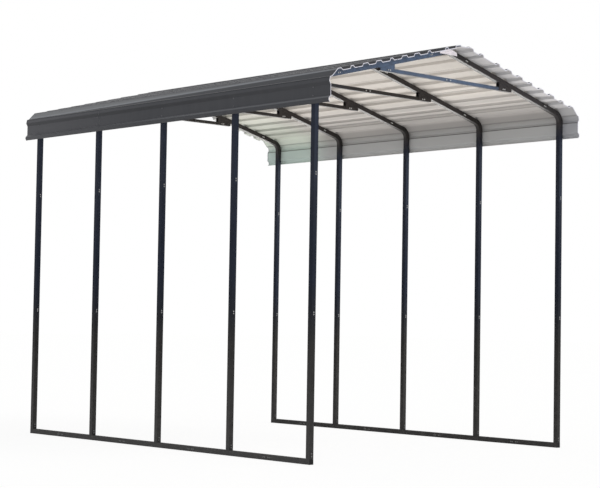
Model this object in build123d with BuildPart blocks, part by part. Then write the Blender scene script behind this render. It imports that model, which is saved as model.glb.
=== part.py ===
"""Open carport: five square-tube frames on two base rails, under a ribbed sheet roof.

Frame: +X to the right, +Y from the front gable to the back, +Z up. The origin is on the ground,
in the middle of the footprint. Lengths are millimetres and angles are degrees.
"""

import math
import os

from build123d import *

os.makedirs("parts", exist_ok=True)

# Steel tube of the posts, rafters and base rails, and of the lighter ties
tube = 57.15
tube_wall = 1.6
tie_tube = 41.3
tie_wall = 1.5

# Swaged ends: each tube ends in a narrower neck that slides into the next one
neck_length = 100.0
neck_clearance = 0.3
shoulder_length = 2.0

# Frames along the length
frame_count = 5
bay = 1275.0
post_spacing = 4092.0

# Heights of the two joints in each post, and of the neck that carries the post
stub_height = 110.0
lower_joint_height = 1515.0
upper_joint_height = 2960.0

# Bent tube at the eave, the roof slope that follows from it, and the bent tube at the ridge
bend_start_height = 3928.0
bend_radius = 120.0
roof_slope = 14.45
bend_leg = 285.0
peak_leg = 365.0
peak_radius = 200.0

# Tie between the two rafters of a frame, and the plates that hold its ends
tie_half_length = 1105.0
tie_end_depth = 34.0
gusset_length = 225.0
gusset_thickness = 3.0

# Roof sheet and its ribs, which run along the length: narrow ribs at the laps, broad ones between.
# The shares are of the pitch between two ribs
sheet_thickness = 0.5
sheet_clearance = 0.1
roof_overhang = 260.0
end_lap = 80.0
rib_height = 25.0
rib_flank = 20.0
narrow_rib_top = 34.0
broad_rib_share = 0.354
ribs_per_sheet = 3
sheets_per_side = 2
lap_edge_share = 0.187
lap_joggle = 10.0
lap_lip = 12.0

# Ridge cap: a level strip over the ridge, then a broad and a narrow rib down each side
ridge_strip_width = 100.0
ridge_broad_reach = 108.0
ridge_narrow_reach = 304.0
ridge_lap_reach = 598.0

# Eave panel: a shoulder at the edge of the slope, a facet, a nose, a flat and a hem
eave_lap_gap = 202.0
shoulder_gap = 145.0
shoulder_width = 48.0
facet_foot_rise = 82.0
facet_foot_inset = 20.0
nose_height = 92.0
nose_brow_fall = 14.0
nose_brow_depth = 10.0
nose_depth = 20.0
nose_bevel = 34.0
flat_height = 116.0
hem_height = 67.0
hem_depth = 26.0
hem_bevel = 26.0
hem_lip_height = 17.0
hem_lip_return = 14.0

# Places worked out from the driving sizes
slope_cos = math.cos(math.radians(roof_slope))
slope_sin = math.sin(math.radians(roof_slope))
slope_tan = math.tan(math.radians(roof_slope))
post_reach = post_spacing / 2
post_face = post_reach + tube / 2
frame_length = (frame_count - 1) * bay
frame_places = [number * bay - frame_length / 2 for number in range(frame_count)]
neck_side = tube - 2 * tube_wall - 2 * neck_clearance
tie_neck_side = tie_tube - 2 * tie_wall - 2 * neck_clearance
bend_end_reach = post_reach - bend_radius + bend_radius * slope_sin
bend_end_height = bend_start_height + bend_radius * slope_cos
apex_height = bend_end_height + bend_end_reach * slope_tan
rafter_half_depth = tube / 2 / slope_cos
rafter_length = bend_end_reach / slope_cos - bend_leg - peak_leg
peak_straight = peak_leg - peak_radius * slope_tan
peak_top_height = apex_height - peak_radius * (1 / slope_cos - 1) + tube / 2
sheet_step = sheet_thickness + sheet_clearance
roof_half_length = frame_length / 2 + roof_overhang


def add_tube(start, length, side, wall):
    """Add a hollow square tube that runs along the normal of its starting plane."""
    with BuildSketch(start) as section:
        Rectangle(side, side)
        Rectangle(side - 2 * wall, side - 2 * wall, mode=Mode.SUBTRACT)
    extrude(section.sketch, amount=length)


def add_neck(start, side, neck, wall):
    """Add the swaged neck that stands on a tube's end plane, with the shoulder that carries it."""
    with BuildSketch(start) as shoulder:
        Rectangle(side, side)
        Rectangle(neck - 2 * wall, neck - 2 * wall, mode=Mode.SUBTRACT)
    extrude(shoulder.sketch, amount=-shoulder_length)
    add_tube(start, neck_length, neck, wall)


def add_post(place, foot, top):
    """Add one post between two heights, with the neck at its top that takes the next piece."""
    add_tube(Plane((-post_reach, place, foot)), top - foot, tube, tube_wall)
    add_neck(Plane((-post_reach, place, top)), tube, neck_side, tube_wall)


def slope_plane(reach, place):
    """Give the plane across a left rafter at a distance down its slope from the ridge."""
    middle = (-reach * slope_cos, place, apex_height - reach * slope_sin)
    return Plane(middle, x_dir=(0, 1, 0), z_dir=(slope_cos, 0, slope_sin))


def rafter_underside(reach):
    """Give the height of the rafter's lower face at a distance from the ridge, measured level."""
    return apex_height - rafter_half_depth - reach * slope_tan


def finish(piece, name):
    """Label a finished piece and write it to its own file."""
    piece.part.label = name
    export_step(piece.part, f"parts/{name}.step")


def finish_pair(left_piece, name):
    """Write a left piece and its mirror image on the right."""
    with BuildPart() as right_piece:
        mirror(left_piece.part, about=Plane.YZ)
    finish(left_piece, f"left_{name}")
    finish(right_piece, f"right_{name}")


# Base rails: one length for each post, joined halfway between the posts
for number, place in enumerate(frame_places):
    rail_front = place - (tube / 2 if number == 0 else bay / 2)
    rail_back = place + (tube / 2 if number == frame_count - 1 else bay / 2)
    with BuildPart() as base_rail:
        add_tube(Plane((-post_reach, rail_front, tube / 2), z_dir=(0, 1, 0)),
                 rail_back - rail_front, tube, tube_wall)
        if number < frame_count - 1:
            add_neck(Plane((-post_reach, rail_back, tube / 2), z_dir=(0, 1, 0)),
                     tube, neck_side, tube_wall)
        add_tube(Plane((-post_reach, place, tube)), stub_height, neck_side, tube_wall)
    finish_pair(base_rail, f"base_rail_{number + 1}")

# Posts: a lower and an upper length in each
with BuildPart() as lower_posts:
    for place in frame_places:
        add_post(place, tube, lower_joint_height)
finish_pair(lower_posts, "lower_posts")

with BuildPart() as upper_posts:
    for place in frame_places:
        add_post(place, lower_joint_height, upper_joint_height)
finish_pair(upper_posts, "upper_posts")

# Eave bends: one bent tube from the top of a post to the foot of a rafter
with BuildPart() as eave_bends:
    for place in frame_places:
        post_top = Plane((-post_reach, place, upper_joint_height))
        with BuildLine(Plane(post_top.origin, x_dir=(1, 0, 0), z_dir=(0, -1, 0))) as route:
            upright = Line((0, 0), (0, bend_start_height - upper_joint_height))
            elbow = JernArc(upright @ 1, upright % 1, radius=bend_radius, arc_size=roof_slope - 90)
            Line(elbow @ 1, elbow @ 1 + bend_leg * (elbow % 1))
        with BuildSketch(post_top) as section:
            Rectangle(tube, tube)
            Rectangle(tube - 2 * tube_wall, tube - 2 * tube_wall, mode=Mode.SUBTRACT)
        sweep(section.sketch, path=route.wire())
finish_pair(eave_bends, "eave_bends")

# Rafters: a straight tube with a neck at each end
with BuildPart() as rafters:
    for place in frame_places:
        foot = slope_plane(peak_leg + rafter_length, place)
        head = slope_plane(peak_leg, place)
        add_tube(foot, rafter_length, tube, tube_wall)
        add_neck(head, tube, neck_side, tube_wall)
        add_neck(Plane(foot.origin, x_dir=foot.x_dir, z_dir=-foot.z_dir), tube, neck_side, tube_wall)
finish_pair(rafters, "rafters")

# Ridge bends: one bent tube over the peak of each frame
with BuildPart() as ridge_bends:
    for place in frame_places:
        left_end = slope_plane(peak_leg, place)
        with BuildLine(Plane(left_end.origin, x_dir=left_end.z_dir, z_dir=(0, -1, 0))) as route:
            rise = Line((0, 0), (peak_straight, 0))
            peak = JernArc(rise @ 1, rise % 1, radius=peak_radius, arc_size=-2 * roof_slope)
            Line(peak @ 1, peak @ 1 + peak_straight * (peak % 1))
        with BuildSketch(left_end) as section:
            Rectangle(tube, tube)
            Rectangle(tube - 2 * tube_wall, tube - 2 * tube_wall, mode=Mode.SUBTRACT)
        sweep(section.sketch, path=route.wire())
finish(ridge_bends, "ridge_bends")

# Ties: two half lengths joined under the ridge, with their outer ends cut to the rafters
rafter_gap_height = rafter_underside(tie_half_length)
tie_bottom_height = rafter_gap_height - tie_end_depth
tie_middle_height = tie_bottom_height + tie_tube / 2


def add_half_tie(place, side):
    """Add half a tie on one side of the ridge, cut off along the rafter's lower face."""
    end = side * tie_half_length
    add_tube(Plane((0, place, tie_middle_height), z_dir=(side, 0, 0)), tie_half_length, tie_tube, tie_wall)
    with BuildSketch(Plane.XZ.offset(tube - place)) as waste:
        with BuildLine():
            Polyline(
                (0, rafter_underside(0)),
                (end, rafter_gap_height),
                (end, rafter_underside(0)),
                close=True,
            )
        make_face()
    extrude(waste.sketch, amount=-2 * tube, mode=Mode.SUBTRACT)


with BuildPart() as left_ties:
    for place in frame_places:
        add_half_tie(place, -1)
        add_neck(Plane((0, place, tie_middle_height), z_dir=(1, 0, 0)), tie_tube, tie_neck_side, tie_wall)
finish(left_ties, "left_ties")

with BuildPart() as right_ties:
    for place in frame_places:
        add_half_tie(place, 1)
finish(right_ties, "right_ties")

# Gusset plates: one on each face of a tie, up to the rafter's lower face
gusset_inner_reach = tie_half_length - gusset_length

with BuildPart() as gusset_plates:
    for place in frame_places:
        for face in (place - tie_tube / 2, place + tie_tube / 2 + gusset_thickness):
            with BuildSketch(Plane.XZ.offset(-face)):
                with BuildLine():
                    Polyline(
                        (-gusset_inner_reach, tie_bottom_height),
                        (-gusset_inner_reach, rafter_underside(gusset_inner_reach)),
                        (-tie_half_length, rafter_gap_height),
                        (-tie_half_length, tie_bottom_height),
                        close=True,
                    )
                make_face()
            extrude(amount=gusset_thickness)
finish_pair(gusset_plates, "gusset_plates")


# Roof sheets: a bent line of points across the roof, thickened and drawn out along the length
def on_slope(reach, height):
    """Give the point on the right slope at a distance from the ridge and a height off the rafters."""
    level = apex_height + rafter_half_depth
    return (reach * slope_cos + height * slope_sin, level - reach * slope_sin + height * slope_cos)


def rib(middle, top, height):
    """Give the four corners of a rib, from ridge to eave, on a sheet raised by a height."""
    growth = height * math.tan(math.atan2(rib_height, rib_flank) / 2)
    crest = top / 2 + growth
    foot = crest + rib_flank
    return [
        on_slope(middle - foot, height),
        on_slope(middle - crest, height + rib_height),
        on_slope(middle + crest, height + rib_height),
        on_slope(middle + foot, height),
    ]


def upper_edge(middle):
    """Give a sheet's upper edge and the shared rib below it, which lie under the next sheet up."""
    return [on_slope(middle - lap_reach - lap_edge, 0)] + rib(middle, narrow_rib_top, 0)


def lower_edge(middle):
    """Give a sheet's lower edge, which steps up and covers the shared rib of the next sheet down."""
    under_edge = middle - lap_reach - lap_edge
    step = [on_slope(under_edge - 2 * lap_joggle, 0), on_slope(under_edge - lap_joggle, sheet_step)]
    lip = on_slope(middle + lap_reach + lap_lip, sheet_step)
    return step + rib(middle, narrow_rib_top, sheet_step) + [lip]


def offset_line(points, distance):
    """Move a line of points sideways towards the sky, keeping its corners sharp."""
    lines = [Vector(*end) - Vector(*start) for start, end in zip(points, points[1:])]
    normals = [Vector(-line.Y, line.X).normalized() for line in lines]
    before = [normals[0]] + normals
    after = normals + [normals[-1]]
    return [
        Vector(*point) + (first + second) * (distance / (1 + first.dot(second)))
        for point, first, second in zip(points, before, after)
    ]


def sheet(points, lift, front, back):
    """Make a sheet from its line of points, lifted off the frames, between two ends."""
    lower = offset_line(points, lift)
    upper = offset_line(points, lift + sheet_thickness)
    with BuildPart() as piece:
        with BuildSketch(Plane.XZ.offset(-back)):
            with BuildLine():
                Polyline(*lower, *reversed(upper), close=True)
            make_face()
        extrude(amount=back - front)
    return piece


lap_reach = narrow_rib_top / 2 + rib_flank
eave_lap = bend_end_reach / slope_cos - eave_lap_gap
sheet_cover = (eave_lap - ridge_lap_reach) / sheets_per_side
middle_lap = ridge_lap_reach + sheet_cover
rib_pitch = sheet_cover / ribs_per_sheet
broad_rib_top = broad_rib_share * rib_pitch
lap_edge = lap_edge_share * rib_pitch

cap_half = [(ridge_strip_width / 2, peak_top_height)] + rib(ridge_broad_reach, broad_rib_top, 0)[1:]
cap_half = cap_half + rib(ridge_narrow_reach, narrow_rib_top, 0) + lower_edge(ridge_lap_reach)
cap_line = [(-across, height) for across, height in reversed(cap_half)] + cap_half


def slope_line(first_rib):
    """Give the line of a slope sheet that begins at a shared rib."""
    points = upper_edge(first_rib)
    for number in range(1, ribs_per_sheet):
        points = points + rib(first_rib + number * rib_pitch, broad_rib_top, 0)
    return points + lower_edge(first_rib + sheet_cover)


shoulder_foot = eave_lap + shoulder_gap
shoulder_top = shoulder_foot + rib_flank
facet_foot_height = bend_start_height + facet_foot_rise
flat_top_height = facet_foot_height - nose_height
flat_bottom_height = flat_top_height - flat_height
hem_bottom_height = flat_bottom_height - hem_height
hem_face = post_face + hem_depth
eave_line = upper_edge(eave_lap) + [
    on_slope(shoulder_foot, 0),
    on_slope(shoulder_top, rib_height),
    on_slope(shoulder_top + shoulder_width, rib_height),
    (post_face - facet_foot_inset, facet_foot_height),
    (post_face + nose_brow_depth, facet_foot_height - nose_brow_fall),
    (post_face + nose_depth, flat_top_height + nose_bevel),
    (post_face, flat_top_height),
    (post_face, flat_bottom_height),
    (hem_face, flat_bottom_height - hem_bevel),
    (hem_face, hem_bottom_height + hem_lip_height),
    (hem_face - hem_lip_return, hem_bottom_height),
]

# The front and back lengths lap over the middle length at the second and fourth frames
sheet_lengths = [
    ("front", 2 * sheet_step, -roof_half_length, frame_places[1] + end_lap / 2),
    ("middle", 0, frame_places[1] - end_lap / 2, frame_places[-2] + end_lap / 2),
    ("back", 2 * sheet_step, frame_places[-2] - end_lap / 2, roof_half_length),
]
for length_name, lift, front, back in sheet_lengths:
    finish(sheet(cap_line, lift, front, back), f"{length_name}_ridge_cap")
    for line, sheet_name in (
        (slope_line(ridge_lap_reach), "upper_sheet"),
        (slope_line(middle_lap), "lower_sheet"),
        (eave_line, "eave_panel"),
    ):
        right_sheet = sheet(line, lift, front, back)
        with BuildPart() as left_sheet:
            mirror(right_sheet.part, about=Plane.YZ)
        finish(right_sheet, f"right_{length_name}_{sheet_name}")
        finish(left_sheet, f"left_{length_name}_{sheet_name}")
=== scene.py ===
"""Looks of the carport: the coats on its tube and sheet, its screws, its edge strips, the plugs in its
open tube ends and a bare plate, with the floor, the light and the camera.

Everything is in metres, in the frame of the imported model.
"""

import math
import random

import bmesh
import bpy
from mathutils import Matrix, Vector


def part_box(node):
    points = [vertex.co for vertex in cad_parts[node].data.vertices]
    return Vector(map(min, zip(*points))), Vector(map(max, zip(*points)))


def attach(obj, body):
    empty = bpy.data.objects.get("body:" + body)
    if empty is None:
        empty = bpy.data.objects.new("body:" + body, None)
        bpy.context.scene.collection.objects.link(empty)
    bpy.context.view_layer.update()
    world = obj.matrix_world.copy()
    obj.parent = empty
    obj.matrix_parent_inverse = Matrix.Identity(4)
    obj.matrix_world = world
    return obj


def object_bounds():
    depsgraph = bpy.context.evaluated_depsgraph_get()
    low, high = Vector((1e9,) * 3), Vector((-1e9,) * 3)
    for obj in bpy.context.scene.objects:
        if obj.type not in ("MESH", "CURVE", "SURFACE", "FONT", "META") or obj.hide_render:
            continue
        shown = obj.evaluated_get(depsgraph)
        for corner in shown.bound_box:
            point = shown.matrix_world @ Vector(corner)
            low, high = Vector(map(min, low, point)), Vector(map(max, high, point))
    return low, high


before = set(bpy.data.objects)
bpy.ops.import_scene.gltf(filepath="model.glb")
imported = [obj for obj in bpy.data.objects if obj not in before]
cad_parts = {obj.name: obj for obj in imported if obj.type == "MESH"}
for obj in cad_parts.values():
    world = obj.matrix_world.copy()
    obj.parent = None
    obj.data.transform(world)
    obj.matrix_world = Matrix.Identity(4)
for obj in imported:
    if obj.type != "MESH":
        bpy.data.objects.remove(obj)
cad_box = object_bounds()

# Sizes that the pieces below share with the model
TUBE = 0.05715
TUBE_WALL = 0.0016
TIE_TUBE = 0.0413
TIE_WALL = 0.0015
GUSSET = 0.003
POST_REACH = 2.046
POST_FACE = POST_REACH + TUBE / 2
FRAMES = [-2.55, -1.275, 0.0, 1.275, 2.55]
RAIL_JOINTS = [-1.9125, -0.6375, 0.6375, 1.9125]
SLOPE = math.radians(14.45)
BEND_START = 3.928
BEND_RADIUS = 0.120
APEX = BEND_START + BEND_RADIUS * math.cos(SLOPE)
APEX += (POST_REACH - BEND_RADIUS + BEND_RADIUS * math.sin(SLOPE)) * math.tan(SLOPE)
RAFTER_TOP = APEX + TUBE / 2 / math.cos(SLOPE)
TIE_MIDDLE = (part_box("left_ties")[0][2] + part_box("left_ties")[1][2]) / 2

# Roof sheet: its thickness, its lift where lengths lap, its front end, its ribs by their distance down the
# slope, and half the width of their feet
SHEET = 0.0005
LENGTH_LIFT = 0.0012
ROOF_FRONT = -2.81
BROAD_RIBS = (0.108, 0.801, 1.005, 1.411, 1.615)
NARROW_RIBS = (0.304, 0.598, 1.208, 1.818)
BROAD_FOOT = 0.056
NARROW_FOOT = 0.037

# Eave panel: heights of its folds, the level above which sheets count as sloping, and the facet's crest
FACET_TOP = 4.095
EAVE_SPLIT = 4.03
FACET_FOOT = 4.010
FACET_FOLD = 4.009
NOSE_TOP = 3.990
NOSE_FOOT = 3.936
FLANGE_TOP = 3.93
FLAT_FOLD = 3.922
HEM_BEVEL = 3.790
CREST_START = 1.973
CREST_END = 1.985

# Painted shade along the laps: distance down the slope, half width and strength
LAP_SHADE = ((0.540, 0.016, 0.2), (1.150, 0.028, 0.35), (1.762, 0.030, 0.55))

# Screws: heights on the posts and the eaves, distances from the ridge and below the ribs' feet, and places
# along the rails' joints
POST_SCREWS = (0.084, 0.112, 1.546, 1.569, 3.002, 3.026)
RAFTER_SCREW_PAIRS = (0.298, 1.730)
RAFTER_SCREW_SHIFT = 0.011
GUSSET_SCREWS = (0.950, 0.980)
TIE_SCREW = 0.0325
RAIL_SCREWS = (-0.052, -0.027, 0.023, 0.048)
RIB_SCREW_GAP = 0.024
EAVE_SCREWS = (3.820, 3.908)

# Rounding of the tubes' corners, edge strips with the gap that still counts as a lap, and half the side of
# the plugs
TUBE_CORNER = 0.003
LAP_GAP = 0.003
STRIP_DEPTH = 0.007
STRIP_INSET = 0.0003
PLUG_GAP = 0.0001
TIE_PLUG_HALF = TIE_TUBE / 2 - TIE_WALL - PLUG_GAP
RAIL_PLUG_HALF = TUBE / 2 - TUBE_WALL - PLUG_GAP


def new_material(name):
    """Make an empty node material and give its tree, its shader and its coordinates in the frame."""
    material = bpy.data.materials.new(name)
    material.use_nodes = True
    tree = material.node_tree
    shader = tree.nodes["Principled BSDF"]
    place = tree.nodes.new("ShaderNodeTexCoord").outputs["Object"]
    return material, tree, shader, place


def math_node(tree, operation, first, second=0.0):
    """Do one step of arithmetic on one or two sockets or numbers and give its result."""
    node = tree.nodes.new("ShaderNodeMath")
    node.operation = operation
    for socket, value in zip(node.inputs, (first, second)):
        if isinstance(value, (int, float)):
            socket.default_value = value
        else:
            tree.links.new(value, socket)
    return node.outputs[0]


def times(tree, first, second):
    """Multiply two sockets or numbers."""
    return math_node(tree, "MULTIPLY", first, second)


def larger(tree, first, second):
    """Give the larger of two sockets or numbers."""
    return math_node(tree, "MAXIMUM", first, second)


def noise(tree, place, scale, detail=3.0, stretch=(1, 1, 1)):
    """Add noise with a number of features to the metre, drawn out along the axes with a small stretch."""
    mapping = tree.nodes.new("ShaderNodeMapping")
    mapping.inputs["Scale"].default_value = stretch
    tree.links.new(place, mapping.inputs["Vector"])
    texture = tree.nodes.new("ShaderNodeTexNoise")
    texture.inputs["Scale"].default_value = scale
    texture.inputs["Detail"].default_value = detail
    tree.links.new(mapping.outputs[0], texture.inputs["Vector"])
    return texture.outputs["Fac"]


def spread(tree, value, low, high, start=0.3, end=0.7):
    """Map a value between start and end to a range, without going past its ends."""
    node = tree.nodes.new("ShaderNodeMapRange")
    for socket, number in zip(node.inputs[1:5], (start, end, low, high)):
        socket.default_value = number
    tree.links.new(value, node.inputs[0])
    return node.outputs[0]


def rising(tree, value, start, end, top=1.0):
    """Give 0 up to a start and a top from an end on."""
    return spread(tree, value, 0, top, start, end)


def falling(tree, value, start, end, top=1.0):
    """Give a top up to a start and 0 from an end on."""
    return spread(tree, value, top, 0, start, end)


def line_at(tree, value, middle, half_width):
    """Give 1 where a value is at a middle, falling to 0 at half a width from it."""
    offset = math_node(tree, "ABSOLUTE", math_node(tree, "SUBTRACT", value, middle))
    return falling(tree, offset, half_width / 2, half_width)


def mix(tree, share, first, second):
    """Mix two colours, each a socket or three numbers."""
    node = tree.nodes.new("ShaderNodeMix")
    node.data_type = "RGBA"
    tree.links.new(share, node.inputs["Factor"])
    for socket, colour in zip(node.inputs[6:8], (first, second)):
        if isinstance(colour, tuple):
            socket.default_value = (*colour, 1)
        else:
            tree.links.new(colour, socket)
    return node.outputs[2]


def bump(tree, shader, height, distance, strength):
    """Raise the surface a little by a height between 0 and 1."""
    node = tree.nodes.new("ShaderNodeBump")
    node.inputs["Strength"].default_value = strength
    node.inputs["Distance"].default_value = distance
    tree.links.new(height, node.inputs["Height"])
    tree.links.new(node.outputs[0], shader.inputs["Normal"])


def part_axes(tree, socket):
    """Split a vector into its three numbers."""
    node = tree.nodes.new("ShaderNodeSeparateXYZ")
    tree.links.new(socket, node.inputs[0])
    return node.outputs


def facing(tree, across):
    """Give how far a face looks away from the middle of the carport, and how far it looks up."""
    normal = part_axes(tree, tree.nodes.new("ShaderNodeNewGeometry").outputs["True Normal"])
    return times(tree, normal[0], math_node(tree, "SIGN", across)), normal[2]


def black_coat():
    """Black powder coat with fine orange peel and faint clouding. It is neutral low down, with a painted
    blue sky reflection higher up that painted light makes paler near the top, a painted warm reflection of
    the roof's underside where the roof shelters it, where it is also glossier, and painted light that makes
    it lightest there on the front frame. Dust has settled on it near the ground, and there the faces that
    look out are lighter with dust splashes and painted light."""
    material, tree, shader, place = new_material("black_coat")
    across, along, height = part_axes(tree, place)
    cloud = spread(tree, noise(tree, place, 4), 0, 1)
    low_tone = mix(tree, cloud, (0.0110, 0.0106, 0.0100), (0.0160, 0.0153, 0.0147))
    sky_reflection_tone = mix(tree, cloud, (0.0065, 0.0100, 0.0200), (0.0095, 0.0140, 0.0280))
    high_lit_tone = mix(tree, cloud, (0.0150, 0.0185, 0.0300), (0.0180, 0.0225, 0.0380))
    warm_reflection_tone = mix(tree, cloud, (0.0250, 0.0215, 0.0205), (0.0330, 0.0290, 0.0280))
    front_lit_tone = mix(tree, cloud, (0.0350, 0.0310, 0.0310), (0.0430, 0.0390, 0.0390))
    dust_tone = (0.048, 0.046, 0.045)
    splash_and_light_tone = (0.075, 0.073, 0.072)

    sheltered = rising(tree, height, 3.75, 3.95)
    on_front_frame = falling(tree, along, -2.45, -2.30)
    # Painted blue sky reflection higher up, paler with painted light near the top
    open_tone = mix(tree, rising(tree, height, 1.2, 1.9), low_tone, sky_reflection_tone)
    open_tone = mix(tree, rising(tree, height, 2.3, 3.0), open_tone, high_lit_tone)
    # Painted light on the front frame
    warm_reflection_tone = mix(tree, on_front_frame, warm_reflection_tone, front_lit_tone)
    # Painted warm reflection of the underside where the roof shelters the tubes
    colour = mix(tree, sheltered, open_tone, warm_reflection_tone)

    near_ground = falling(tree, height, 0.3, 1.6, 0.75)
    near_ground = larger(tree, near_ground, falling(tree, height, 0.06, 0.10))
    dust = times(tree, near_ground, spread(tree, noise(tree, place, 18), 0.5, 1))
    colour = mix(tree, dust, colour, dust_tone)
    outward = facing(tree, across)[0]
    # Dust splashes and painted light on the faces that look out near the ground
    splash_and_light = times(tree, near_ground, rising(tree, outward, 0.5, 0.9, 0.6))
    colour = mix(tree, splash_and_light, colour, splash_and_light_tone)
    tree.links.new(colour, shader.inputs["Base Color"])

    grain = spread(tree, noise(tree, place, 30), 0.34, 0.46)
    wear = times(tree, math_node(tree, "SUBTRACT", 1.0, sheltered), 0.45)
    tree.links.new(math_node(tree, "ADD", grain, wear), shader.inputs["Roughness"])
    shader.inputs["Specular IOR Level"].default_value = 0.25
    bump(tree, shader, noise(tree, place, 520, 2), 0.0003, 0.12)
    return material


def facet_colour(tree, out, along, height, charcoal):
    """Darken the charcoal with painted shade on the eave's facet and on the brow below it, and lighten it
    with painted light on the facet in a wedge that widens to the back, with a painted highlight along its
    rim."""
    brow_shade_tone = (0.026, 0.027, 0.032)
    # Painted shade on the facet
    facet_tone = (0.036, 0.038, 0.044)
    facet_light_tone = (0.142, 0.146, 0.153)
    facet_highlight_tone = (0.20, 0.208, 0.225)

    facet = rising(tree, height, NOSE_TOP - 0.006, NOSE_TOP + 0.006)
    facet = times(tree, facet, rising(tree, out, CREST_START, CREST_END))
    above_brow = rising(tree, height, FACET_FOOT - 0.002, FACET_FOOT + 0.002)
    # Painted shade on the facet and the brow
    charcoal = mix(tree, facet, charcoal, mix(tree, above_brow, brow_shade_tone, facet_tone))

    wedge_depth = spread(tree, along, 0.15, 0.96, ROOF_FRONT, 2.20)
    depth = falling(tree, height, FACET_FOOT, FACET_TOP)
    inside_wedge = math_node(tree, "SUBTRACT", wedge_depth, depth)
    on_facet = times(tree, facet, rising(tree, height, FACET_FOOT, FACET_FOOT + 0.004))
    # Painted light on the facet in the wedge
    facet_light = times(tree, on_facet, rising(tree, inside_wedge, -0.05, 0.05))
    facet_light = times(tree, facet_light, spread(tree, depth, 0.65, 1, 0, 0.35))
    charcoal = mix(tree, facet_light, charcoal, facet_light_tone)
    # Painted highlight along the wedge's rim
    rim = times(tree, on_facet, line_at(tree, inside_wedge, 0.08, 0.16))
    return mix(tree, times(tree, rim, 0.8), charcoal, facet_highlight_tone)


def charcoal_colour(tree, place, cloud, streak):
    """Give the charcoal of the sheets' outside, with faint streaks and clouds. It pales to the back, has
    painted shade under the eave's nose and a painted highlight along the hem's bevel."""
    cloud_tone = (0.072, 0.073, 0.079)
    pale_tone = (0.098, 0.098, 0.106)
    shade_line_tone = (0.030, 0.031, 0.034)
    hem_highlight_tone = (0.26, 0.265, 0.28)

    across, along, height = part_axes(tree, place)
    out = math_node(tree, "ABSOLUTE", across)
    charcoal = mix(tree, streak, (0.062, 0.063, 0.070), (0.068, 0.069, 0.076))
    charcoal = mix(tree, times(tree, cloud, 0.5), charcoal, cloud_tone)
    charcoal = mix(tree, rising(tree, along, 0.4, 2.8), charcoal, pale_tone)
    # Painted shade under the eave's nose
    shade_line = line_at(tree, height, NOSE_FOOT, 0.026)
    shade_line = times(tree, shade_line, spread(tree, along, 0.10, 0.38, -2.4, -0.6))
    charcoal = mix(tree, shade_line, charcoal, shade_line_tone)
    charcoal = facet_colour(tree, out, along, height, charcoal)
    # Painted highlight along the hem's bevel
    hem_highlight = times(tree, line_at(tree, height, HEM_BEVEL, 0.014), falling(tree, along, -0.5, 1.6, 0.4))
    return mix(tree, hem_highlight, charcoal, hem_highlight_tone)


def slope_colour(tree, out, along, height, cloud, streak):
    """Give the pale back coat under the slopes. Painted shade greys it towards the eaves and darkens the
    lower slopes behind the first bay and the upper slopes in the last bay, and painted light pales the
    hollows of the lower ribs."""
    streak_tone = (0.63, 0.59, 0.55)
    # Painted shade on the lower slopes
    lower_tone = (0.485, 0.462, 0.443)
    eave_shade_tone = (0.42, 0.40, 0.39)
    lower_slope_shade_tone = (0.05, 0.045, 0.04)
    hollow_light_tone = (0.80, 0.76, 0.73)
    last_bay_shade_tone = (0.545, 0.518, 0.487)

    colour = mix(tree, cloud, (0.66, 0.62, 0.58), (0.70, 0.66, 0.62))
    colour = mix(tree, times(tree, streak, 0.3), colour, streak_tone)
    # Painted shade: greyer on the lower slopes, and greyer still near the eaves
    colour = mix(tree, rising(tree, out, 1.19, 1.46), colour, lower_tone)
    eave_shade = times(tree, rising(tree, out, 1.60, 1.90), falling(tree, along, 0, 1.4))
    colour = mix(tree, eave_shade, colour, eave_shade_tone)
    # Painted shade on the lower slopes behind the first bay
    lower_slope_shade = times(tree, rising(tree, along, -1.6, -0.8, 0.17), rising(tree, out, 0.9, 1.1))
    lower_slope_shade = times(tree, lower_slope_shade, falling(tree, out, 1.83, 1.90))
    colour = mix(tree, lower_slope_shade, colour, lower_slope_shade_tone)
    # Painted light that pales the hollows of the lower ribs
    fall = times(tree, out, math.tan(SLOPE))
    rise = math_node(tree, "SUBTRACT", math_node(tree, "ADD", height, fall), RAFTER_TOP)
    hollow_light = times(tree, rising(tree, rise, 0.004, 0.018, 0.34), rising(tree, out, 1.15, 1.40))
    colour = mix(tree, hollow_light, colour, hollow_light_tone)
    # Painted shade on the upper slopes in the last bay
    last_bay_shade = times(tree, rising(tree, along, 1.35, 1.9, 0.85), falling(tree, out, 1.0, 1.4))
    return mix(tree, last_bay_shade, colour, last_bay_shade_tone)


def green_tint_colour(tree, out, upright):
    """Give a green tint, set by its distance from the ridge and on the eaves' upright faces."""
    upper_tone = (0.60, 0.65, 0.565)
    lower_tone = (0.47, 0.50, 0.44)
    shoulder_tone = (0.73, 0.78, 0.68)
    facet_tone = (0.88, 0.95, 0.84)
    flange_tone = (0.59, 0.71, 0.665)

    tint = mix(tree, rising(tree, out, 1.25, 1.50), upper_tone, lower_tone)
    tint = mix(tree, rising(tree, out, 1.89, 1.93), tint, shoulder_tone)
    tint = mix(tree, rising(tree, out, 1.97, 1.99), tint, facet_tone)
    return mix(tree, upright, tint, flange_tone)


def back_shade_lines(tree, out, along, height):
    """Give the strength of the painted shade lines along the eaves' folds, and along the laps, which have
    less of it in the last bay."""
    # Painted shade lines along the folds and laps
    shade_line = times(tree, line_at(tree, height, FLAT_FOLD, 0.008), 0.8)
    shade_line = larger(tree, shade_line, times(tree, line_at(tree, height, FACET_FOLD, 0.008), 0.4))
    share = spread(tree, along, 1, 0.25, 1.2, 1.6)
    for reach, half_width, strength in LAP_SHADE:
        line = times(tree, line_at(tree, out, reach * math.cos(SLOPE), half_width), share)
        shade_line = larger(tree, shade_line, times(tree, line, strength))
    return shade_line


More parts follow.
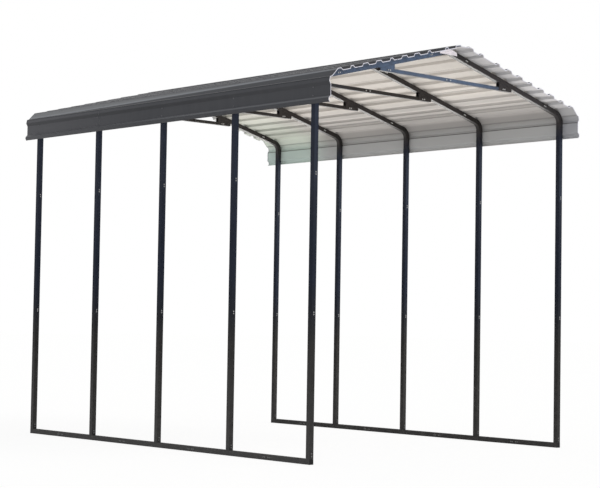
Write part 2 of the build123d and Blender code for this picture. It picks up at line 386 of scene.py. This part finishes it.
def back_colour(tree, place, outward, cloud, streak):
    """Give the pale back coat of the sheets' inside, with painted shade that greys it past the end frames
    and on the eaves' upright faces and darkens the ribs' flanks past the end frames, painted shade lines
    along the folds and laps, and a green tint in the last bay."""
    overhang_shade_tone = (0.57, 0.56, 0.57)
    flank_shade_tone = (0.12, 0.14, 0.18)
    # Painted shade on the eaves' upright faces
    flange_tone = (0.495, 0.500, 0.505)
    flange_end_shade_tone = (0.415, 0.420, 0.445)
    shade_line_tone = (0.13, 0.125, 0.12)

    across, along, height = part_axes(tree, place)
    out = math_node(tree, "ABSOLUTE", across)
    colour = slope_colour(tree, out, along, height, cloud, streak)
    from_middle = math_node(tree, "ABSOLUTE", along)
    past_frames = rising(tree, from_middle, FRAMES[-1], FRAMES[-1] + TUBE / 2)
    # Painted shade past the end frames
    colour = mix(tree, past_frames, colour, overhang_shade_tone)
    # Painted shade on the ribs' outward flanks past the end frames
    flank_shade = times(tree, math_node(tree, "GREATER_THAN", outward, 0.35), past_frames)
    colour = mix(tree, flank_shade, colour, flank_shade_tone)
    upright = falling(tree, height, FLANGE_TOP, EAVE_SPLIT)
    # Painted shade on the eaves' upright faces, darker past the end frames
    colour = mix(tree, upright, colour, mix(tree, past_frames, flange_tone, flange_end_shade_tone))
    # Green tint in the last bay
    back_tint_share = times(tree, rising(tree, along, 1.5, 2.0, 0.8), rising(tree, out, 0.8, 1.6))
    colour = mix(tree, back_tint_share, colour, green_tint_colour(tree, out, upright))
    # Painted shade lines along the folds and laps
    return mix(tree, back_shade_lines(tree, out, along, height), colour, shade_line_tone)


def sheet_coat():
    """Painted sheet with long shallow ripples: charcoal outside and a pale back coat inside."""
    material, tree, shader, place = new_material("sheet_coat")
    axes = part_axes(tree, place)
    outward, upward = facing(tree, axes[0])
    on_slope = math_node(tree, "GREATER_THAN", axes[2], EAVE_SPLIT)
    up_share = times(tree, upward, on_slope)
    out_share = times(tree, outward, math_node(tree, "SUBTRACT", 1.0, on_slope))
    outside = math_node(tree, "GREATER_THAN", math_node(tree, "ADD", up_share, out_share), 0.0)

    streak = spread(tree, noise(tree, place, 14, 3, (0.05, 1, 0.05)), 0, 1)
    cloud = spread(tree, noise(tree, place, 2.5), 0, 1)
    inner = back_colour(tree, place, outward, cloud, streak)
    outer = charcoal_colour(tree, place, cloud, streak)
    tree.links.new(mix(tree, outside, inner, outer), shader.inputs["Base Color"])

    grain = noise(tree, place, 12)
    dull = spread(tree, grain, 0.38, 0.46)
    polish = math_node(tree, "SUBTRACT", dull, spread(tree, grain, 0.32, 0.34))
    roughness = math_node(tree, "SUBTRACT", dull, times(tree, outside, polish))
    tree.links.new(roughness, shader.inputs["Roughness"])
    shader.inputs["Specular IOR Level"].default_value = 0.06
    ripple = noise(tree, place, 9, 2, (1, 0.25, 1))
    bump(tree, shader, ripple, 0.002, 0.08)
    return material


def zinc(name, light, dark):
    """Zinc coating with the faint mottle that it sets with, dulled by dust below the eaves and most of all
    near the ground."""
    dust_tone = (0.13, 0.13, 0.13)
    material, tree, shader, place = new_material(name)
    mottle = spread(tree, noise(tree, place, 260, 2), 0, 1)
    height = part_axes(tree, place)[2]
    dust = spread(tree, height, 0.9, 0.55, 0.1, 1.5)
    dust = times(tree, dust, falling(tree, height, 3.1, 3.7))
    colour = mix(tree, dust, mix(tree, mottle, dark, light), dust_tone)
    tree.links.new(colour, shader.inputs["Base Color"])
    tree.links.new(spread(tree, noise(tree, place, 90), 0.42, 0.58), shader.inputs["Roughness"])
    shader.inputs["Metallic"].default_value = 0.4
    return material


def edge_paint():
    """Pale paint on the cut edges, thin and a little uneven."""
    material, tree, shader, place = new_material("edge_paint")
    patch = spread(tree, noise(tree, place, 35, 3), 0, 1)
    colour = mix(tree, patch, (0.80, 0.77, 0.82), (0.72, 0.69, 0.74))
    tree.links.new(colour, shader.inputs["Base Color"])
    tree.links.new(spread(tree, noise(tree, place, 80), 0.40, 0.52), shader.inputs["Roughness"])
    shader.inputs["Specular IOR Level"].default_value = 0.2
    return material


def rubber():
    """Dark sealing washer with a dull grain."""
    material, tree, shader, place = new_material("washer_rubber")
    grain = spread(tree, noise(tree, place, 900, 2), 0, 1)
    colour = mix(tree, grain, (0.012, 0.012, 0.012), (0.025, 0.025, 0.025))
    tree.links.new(colour, shader.inputs["Base Color"])
    shader.inputs["Roughness"].default_value = 0.8
    return material


def plug_plastic():
    """Black moulded plastic with a fine grain."""
    material, tree, shader, place = new_material("plug_plastic")
    grain = spread(tree, noise(tree, place, 300, 2), 0, 1)
    colour = mix(tree, grain, (0.0075, 0.0070, 0.0080), (0.0105, 0.0100, 0.0110))
    tree.links.new(colour, shader.inputs["Base Color"])
    tree.links.new(spread(tree, noise(tree, place, 120), 0.55, 0.70), shader.inputs["Roughness"])
    shader.inputs["Specular IOR Level"].default_value = 0.2
    return material


def enamel():
    """White enamel with a faint pink cast, a little dusty."""
    material, tree, shader, place = new_material("plate_enamel")
    dust = spread(tree, noise(tree, place, 22, 4), 0, 1)
    colour = mix(tree, dust, (0.95, 0.90, 0.93), (0.90, 0.85, 0.88))
    tree.links.new(colour, shader.inputs["Base Color"])
    tree.links.new(spread(tree, noise(tree, place, 60), 0.3, 0.42), shader.inputs["Roughness"])
    shader.inputs["Specular IOR Level"].default_value = 0.2
    bump(tree, shader, noise(tree, place, 400, 2), 0.0002, 0.1)
    return material


def coat_node(node, material):
    """Give a node of the model its finish."""
    node.data.materials.clear()
    node.data.materials.append(material)


def soften(node, width):
    """Round the long edges of a tube, as its rolled corners are."""
    weld = node.modifiers.new("weld", "WELD")
    weld.merge_threshold = 0.00002
    edges = node.modifiers.new("rolled_corners", "BEVEL")
    edges.width = width
    edges.segments = 2
    edges.limit_method = "ANGLE"
    edges.angle_limit = math.radians(60)


def add_piece(name, build, materials):
    """Make a named piece of the part from a filled mesh and fix it to the frame."""
    mesh = bpy.data.meshes.new(name)
    build.normal_update()
    build.to_mesh(mesh)
    build.free()
    for material in materials:
        mesh.materials.append(material)
    piece = bpy.data.objects.new(name, mesh)
    bpy.context.collection.objects.link(piece)
    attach(piece, "root")
    return piece


def ring(build, radius, height, sides):
    """Add a ring of points round the z axis."""
    angles = [2 * math.pi * number / sides for number in range(sides)]
    return [build.verts.new((radius * math.cos(a), radius * math.sin(a), height)) for a in angles]


def stack(build, rings, material_index):
    """Join rings into a closed turned shape."""
    faces = [build.faces.new(list(reversed(rings[0]))), build.faces.new(rings[-1])]
    for lower, upper in zip(rings, rings[1:]):
        for number in range(len(lower)):
            after = (number + 1) % len(lower)
            faces.append(build.faces.new((lower[number], lower[after], upper[after], upper[number])))
    for face in faces:
        face.material_index = material_index


def screw_mesh():
    """Make one self-drilling screw's head on the z axis, from rings with a radius and a height each."""
    washer = ((0.0072, -0.0004), (0.0074, 0.0012))
    flange = ((0.0078, 0.0012), (0.0078, 0.0020), (0.0062, 0.0028))
    hexagon = ((0.0047, 0.0026), (0.0047, 0.0066), (0.0038, 0.0074))
    build = bmesh.new()
    for outline, sides, material_index in ((washer, 14, 1), (flange, 16, 0), (hexagon, 6, 0)):
        rings = [ring(build, radius, height, sides) for radius, height in outline]
        stack(build, rings, material_index)
    mesh = bpy.data.meshes.new("screw_head")
    build.to_mesh(mesh)
    build.free()
    return mesh


def add_screws(name, seats, materials):
    """Add one joined piece with a screw at each seat, a point and the direction that it faces."""
    turns = random.Random(name)
    head = screw_mesh()
    build = bmesh.new()
    for point, direction in seats:
        start = len(build.verts)
        build.from_mesh(head)
        build.verts.ensure_lookup_table()
        aim = Vector((0, 0, 1)).rotation_difference(Vector(direction)).to_matrix().to_4x4()
        place = Matrix.Translation(point) @ aim @ Matrix.Rotation(turns.uniform(0, math.pi), 4, "Z")
        bmesh.ops.transform(build, matrix=place, verts=build.verts[start:])
    bpy.data.meshes.remove(head)
    return add_piece(name, build, materials)


def on_rafter(across):
    """Give the height of a rafter's middle line at a distance from the ridge."""
    return APEX - across * math.tan(SLOPE)


def frame_seats():
    """List the screws that hold each frame's tubes together, on their front faces."""
    seats = []
    front = (0, -1, 0)
    for place in FRAMES:
        tube_face = place - TUBE / 2
        tie_face = place - TIE_TUBE / 2
        for side in (-1, 1):
            for height in POST_SCREWS:
                seats.append(((side * POST_REACH, tube_face, height), front))
            for middle in RAFTER_SCREW_PAIRS:
                for across in (middle - RAFTER_SCREW_SHIFT, middle + RAFTER_SCREW_SHIFT):
                    seats.append(((side * across, tube_face, on_rafter(across)), front))
            for across in GUSSET_SCREWS:
                seats.append(((side * across, tie_face - GUSSET, TIE_MIDDLE), front))
            seats.append(((side * TIE_SCREW, tie_face, TIE_MIDDLE), front))
    return seats


def rail_seats():
    """List the screws through both side faces of each joint in the base rails."""
    return [
        ((side * POST_REACH + face * TUBE / 2, joint + along, TUBE / 2), (face, 0, 0))
        for side in (-1, 1)
        for face in (-1, 1)
        for joint in RAIL_JOINTS
        for along in RAIL_SCREWS
    ]


def roof_seats():
    """List the screws through the sheets: below each rib on the slopes, and on the eave flats."""
    seats = []
    for place in FRAMES:
        lift = SHEET + (0 if place == 0 else LENGTH_LIFT)
        for side in (-1, 1):
            up = (side * math.sin(SLOPE), 0, math.cos(SLOPE))
            for rib in sorted(BROAD_RIBS + NARROW_RIBS):
                reach = rib + (BROAD_FOOT if rib in BROAD_RIBS else NARROW_FOOT) + RIB_SCREW_GAP
                across = reach * math.cos(SLOPE) + lift * math.sin(SLOPE)
                top = RAFTER_TOP - reach * math.sin(SLOPE) + lift * math.cos(SLOPE)
                seats.append(((side * across, place, top), up))
            for height in EAVE_SCREWS:
                seats.append(((side * (POST_FACE + lift), place, height), (side, 0, 0)))
    return seats


def faces_in(face):
    """Tell whether a face of a roof sheet looks into the carport."""
    if face.center.z > EAVE_SPLIT:
        return face.normal.z < 0
    return face.normal.x * face.center.x < 0


def inside_edges(sheet, end):
    """List the edges of a sheet's inside at one of its ends, each as two points across and up and the way
    that the inside faces there."""
    mesh = sheet.data
    edges = []
    for face in mesh.polygons:
        if abs(face.normal.y) > 0.5 or not faces_in(face):
            continue
        points = [mesh.vertices[number].co for number in face.vertices]
        points = [point for point in points if abs(point.y - end) < 0.0001]
        if len(points) == 2:
            pair = [(round(point.x, 5), round(point.z, 5)) for point in points]
            edges.append((pair, Vector((face.normal.x, face.normal.z))))
    return edges


def is_covered(edge, others):
    """Tell whether the inside of another sheet lies close below the middle of an edge, as at a lap."""
    (start, finish), inward = edge
    middle = (Vector(start) + Vector(finish)) / 2
    for (other_start, other_finish), _ in others:
        line = Vector(other_finish) - Vector(other_start)
        share = (middle - Vector(other_start)).dot(line) / line.length_squared
        gap = Vector(other_start) + line * share - middle
        if 0 <= share <= 1 and gap.length < LAP_GAP and gap.dot(inward) > 0:
            return True
    return False


def add_edge_strip(name, sheets, end, material):
    """Line the cut ends of the sheets with a narrow strip that follows their ribs, below both at a lap."""
    inset = STRIP_INSET if end < 0 else -STRIP_INSET
    thickness = 4 * inset
    edge_lists = [inside_edges(sheet, end) for sheet in sheets]
    build = bmesh.new()
    for own in edge_lists:
        others = [edge for edges in edge_lists if edges is not own for edge in edges]
        shown = [edge for edge in own if not is_covered(edge, others)]
        turns = {}
        for pair, inward in shown:
            for key in pair:
                turns.setdefault(key, []).append(inward)
        for pair, _ in shown:
            corners = []
            for key in pair:
                first, second = turns[key][0], turns[key][-1]
                move = (first + second) * (STRIP_DEPTH / (1 + first.dot(second)))
                corners.append((Vector(key), Vector(key) + move))
            outline = [corners[0][0], corners[1][0], corners[1][1], corners[0][1]]
            rows = [
                [build.verts.new((point.x, end + shift, point.y)) for point in outline]
                for shift in (inset, inset + thickness)
            ]
            build.faces.new(rows[0])
            build.faces.new(list(reversed(rows[1])))
            for number in range(4):
                after = (number + 1) % 4
                build.faces.new((rows[0][after], rows[0][number], rows[1][number], rows[1][after]))
    bmesh.ops.recalc_face_normals(build, faces=build.faces)
    return add_piece(name, build, [material])


def add_plate(material):
    """Add the bare plate on the front ridge bend, with straight ends, an arched top and a foot that is
    slightly arched."""
    half_width = 0.143
    middle = -0.014
    top = 4.5690
    top_fall = 0.025
    foot = 4.5090
    foot_fall = 0.004
    thickness = 0.002
    face = FRAMES[0] - TUBE / 2
    steps = 24
    build = bmesh.new()
    shares = [number / steps * 2 - 1 for number in range(steps + 1)]
    upper = [(middle + half_width * share, top - top_fall * share ** 2) for share in shares]
    lower = [(middle + half_width * share, foot - foot_fall * share ** 2) for share in reversed(shares)]
    outline = [build.verts.new((across, face, height)) for across, height in upper + lower]
    front = build.faces.new(outline)
    moved = bmesh.ops.extrude_face_region(build, geom=[front])["geom"]
    points = [item for item in moved if isinstance(item, bmesh.types.BMVert)]
    bmesh.ops.translate(build, verts=points, vec=(0, -thickness, 0))
    bmesh.ops.recalc_face_normals(build, faces=build.faces)
    plate = add_piece("ridge_plate", build, [material])
    rim = plate.modifiers.new("rim", "BEVEL")
    rim.width = 0.0006
    rim.segments = 2
    return plate


def add_plugs(name, ends, half, material):
    """Close tube ends with plugs, each a shallow cup with a rounded rim. An end is a point on the tube's
    middle line, the direction that it faces and a level direction across it. A ring of a plug has a depth
    in the tube and a distance from the plug's side."""
    rings = [(0.020, 0.0), (0.0015, 0.0), (0.0, 0.0015), (0.0, 0.005), (0.002, 0.007)]
    build = bmesh.new()
    for point, direction, across in ends:
        rows = []
        for depth, shrink in rings:
            size = half - shrink
            middle = Vector(point) - Vector(direction) * depth
            corners = [(-size, -size), (size, -size), (size, size), (-size, size)]
            rows.append([
                build.verts.new(middle + Vector(across) * level + Vector((0, 0, up)))
                for level, up in corners
            ])
        for lower, upper in zip(rows, rows[1:]):
            for number in range(4):
                after = (number + 1) % 4
                build.faces.new((lower[number], lower[after], upper[after], upper[number]))
        build.faces.new(rows[0])
        build.faces.new(rows[-1])
    bmesh.ops.recalc_face_normals(build, faces=build.faces)
    return add_piece(name, build, [material])


def tie_ends():
    """List the outer ends of the ties."""
    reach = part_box("right_ties")[1][0]
    return [
        ((side * reach, place, TIE_MIDDLE), (side, 0, 0), (0, 1, 0))
        for place in FRAMES
        for side in (-1, 1)
    ]


def rail_ends():
    """List the front and back ends of the base rails."""
    ends = ((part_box("left_base_rail_1")[0][1], -1), (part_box("left_base_rail_5")[1][1], 1))
    return [
        ((side * POST_REACH, place, TUBE / 2), (0, direction, 0), (1, 0, 0))
        for place, direction in ends
        for side in (-1, 1)
    ]


def seen_directly(tree):
    """Give 1 for rays from the camera and those that gloss or glass sends on, and 0 for the rest."""
    path = tree.nodes.new("ShaderNodeLightPath")
    shown = larger(tree, path.outputs["Is Camera Ray"], path.outputs["Is Glossy Ray"])
    return larger(tree, shown, path.outputs["Is Transmission Ray"])


def add_floor():
    """Add the pale floor, which shows as white with the part's shadow on it."""
    mesh = bpy.data.meshes.new("floor")
    reach = 90
    corners = [(-reach, -reach, 0), (reach, -reach, 0), (reach, reach, 0), (-reach, reach, 0)]
    mesh.from_pydata(corners, [], [(0, 1, 2, 3)])
    floor = bpy.data.objects.new("floor", mesh)
    bpy.context.collection.objects.link(floor)

    material, tree, shader, _ = new_material("floor_white")
    shader.inputs["Base Color"].default_value = (0.82, 0.81, 0.79, 1)
    shader.inputs["Roughness"].default_value = 0.9
    shader.inputs["Specular IOR Level"].default_value = 0.1
    glow = tree.nodes.new("ShaderNodeEmission")
    glow.inputs["Strength"].default_value = 1.03
    blend = tree.nodes.new("ShaderNodeMixShader")
    tree.links.new(times(tree, seen_directly(tree), 0.85), blend.inputs[0])
    tree.links.new(shader.outputs[0], blend.inputs[1])
    tree.links.new(glow.outputs[0], blend.inputs[2])
    tree.links.new(blend.outputs[0], tree.nodes["Material Output"].inputs["Surface"])
    mesh.materials.append(material)


def set_world():
    """Surround the part with soft light, and show the surroundings as white."""
    world = bpy.data.worlds.new("studio")
    world.use_nodes = True
    tree = world.node_tree
    soft = tree.nodes["Background"]
    soft.inputs["Color"].default_value = (0.96, 0.98, 1.0, 1)
    soft.inputs["Strength"].default_value = 0.8
    white = tree.nodes.new("ShaderNodeBackground")
    white.inputs["Color"].default_value = (1, 1, 1, 1)
    white.inputs["Strength"].default_value = 1.0
    blend = tree.nodes.new("ShaderNodeMixShader")
    tree.links.new(seen_directly(tree), blend.inputs[0])
    tree.links.new(soft.outputs[0], blend.inputs[1])
    tree.links.new(white.outputs[0], blend.inputs[2])
    tree.links.new(blend.outputs[0], tree.nodes["World Output"].inputs["Surface"])
    bpy.context.scene.world = world


def add_light(name, lamp, energy, colour, location, target):
    """Set a lamp up at a place, pointing at a target."""
    lamp.energy = energy
    lamp.color = colour
    item = bpy.data.objects.new(name, lamp)
    item.location = location
    item.rotation_euler = (Vector(target) - Vector(location)).to_track_quat("-Z", "Y").to_euler()
    bpy.context.collection.objects.link(item)
    return item


def add_panel(name, size, energy, colour, location, target):
    """Add a flat lamp that the camera doesn't see."""
    lamp = bpy.data.lights.new(name, "AREA")
    lamp.shape = "RECTANGLE"
    lamp.size, lamp.size_y = size
    item = add_light(name, lamp, energy, colour, location, target)
    item.visible_camera = False
    return item


def light_only(lamp_item, pieces):
    """Keep a lamp's light to some pieces."""
    lit = bpy.data.collections.new(f"lit_by_{lamp_item.name}")
    for piece in pieces:
        lit.objects.link(piece)
    lamp_item.light_linking.receiver_collection = lit


def add_key():
    """Light the part softly from high on the front right."""
    lamp = bpy.data.lights.new("key", "SUN")
    lamp.angle = math.radians(30)
    add_light("key", lamp, 0.9, (1.0, 0.98, 0.95), (8, -9, 14), (0, 0, 2))


def add_ground_light():
    """Light the underside of the roof from the ground on its right, as pale ground in the sun does."""
    colour = (1.0, 0.97, 0.93)
    item = add_panel("ground_light", (4.0, 8.0), 505, colour, (5.0, 1.2, 0.05), (5.0, 1.2, 5.0))
    item.visible_glossy = False


def add_reflections(roof_frame, strips):
    """Give the gloss of the roof's frame a clear sky on the front right and sunlit ground on the back
    right to reflect, and that of the edge strips the sky."""
    sky_blue = (0.30, 0.55, 1.0)
    sky = add_panel("sky_panel", (16, 9), 4400, sky_blue, (22, -20, 8.5), (0, -2.6, 4.3))
    sky.visible_diffuse = False
    light_only(sky, roof_frame + strips)
    ground_white = (1.0, 0.98, 0.94)
    ground = add_panel("ground_panel", (6, 10), 950, ground_white, (6.5, 5.5, 0.05), (6.5, 5.5, 4))
    ground.visible_diffuse = False
    light_only(ground, roof_frame)


def add_gable_fill(pieces):
    """Light the gable's pieces from the ground in front, as pale ground in the sun does."""
    colour = (0.97, 0.94, 1.0)
    item = add_panel("gable_fill", (5.0, 5.0), 250, colour, (-1.0, -9.0, 0.4), (0, -2.6, 4.4))
    item.visible_glossy = False
    light_only(item, pieces)


def add_camera():
    """Stand the camera where the photograph was taken from, at eye level off the front left corner."""
    place = (-13.3366, -14.5168, 1.4967)
    heading = math.radians(-42.868)
    tilt = math.radians(92.707)
    roll = math.radians(0.934)
    camera = bpy.data.cameras.new("camera")
    camera.sensor_fit = "HORIZONTAL"
    camera.sensor_width = 36
    camera.lens = 95.266
    camera.clip_end = 300
    item = bpy.data.objects.new("camera", camera)
    turn = Matrix.Rotation(heading, 4, "Z") @ Matrix.Rotation(tilt, 4, "X") @ Matrix.Rotation(roll, 4, "Z")
    item.matrix_world = Matrix.Translation(place) @ turn
    bpy.context.collection.objects.link(item)
    bpy.context.scene.camera = item


# Finishes on the nodes of the model
tube_finish = black_coat()
sheet_finish = sheet_coat()
bright_zinc = zinc("bright_zinc", (0.80, 0.80, 0.79), (0.62, 0.62, 0.62))
sheet_words = ("ridge_cap", "upper_sheet", "lower_sheet", "eave_panel")
for name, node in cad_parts.items():
    if name.endswith(sheet_words):
        coat_node(node, sheet_finish)
        continue
    coat_node(node, tube_finish)
    if not name.endswith("gusset_plates"):
        soften(node, TUBE_CORNER)

# Pieces that are only looks
washer = rubber()
add_screws("frame_screws", frame_seats(), [bright_zinc, washer])
add_screws("rail_screws", rail_seats(), [bright_zinc, washer])
dull_zinc = zinc("dull_zinc", (0.17, 0.17, 0.18), (0.11, 0.11, 0.12))
add_screws("roof_screws", roof_seats(), [dull_zinc, washer])
strip_finish = edge_paint()
strips = []
for word, end in (("front", cad_box[0][1]), ("back", cad_box[1][1])):
    sheets = [node for name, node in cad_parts.items() if word in name and name.endswith(sheet_words)]
    strips.append(add_edge_strip(f"{word}_edge_strip", sheets, end, strip_finish))
plate = add_plate(enamel())
add_plugs("tie_plugs", tie_ends(), TIE_PLUG_HALF, tube_finish)
add_plugs("rail_plugs", rail_ends(), RAIL_PLUG_HALF, plug_plastic())

# Floor, light and camera
add_floor()
set_world()
add_key()
add_ground_light()
roof_frame_words = ("bends", "rafters", "ties", "left_gusset_plates")
roof_frame = [node for name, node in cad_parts.items() if name.endswith(roof_frame_words)]
add_reflections(roof_frame, strips)
gable_nodes = [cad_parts["right_rafters"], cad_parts["right_gusset_plates"]]
add_gable_fill(gable_nodes + [plate])
add_camera()
bpy.context.scene.view_settings.view_transform = "Standard"
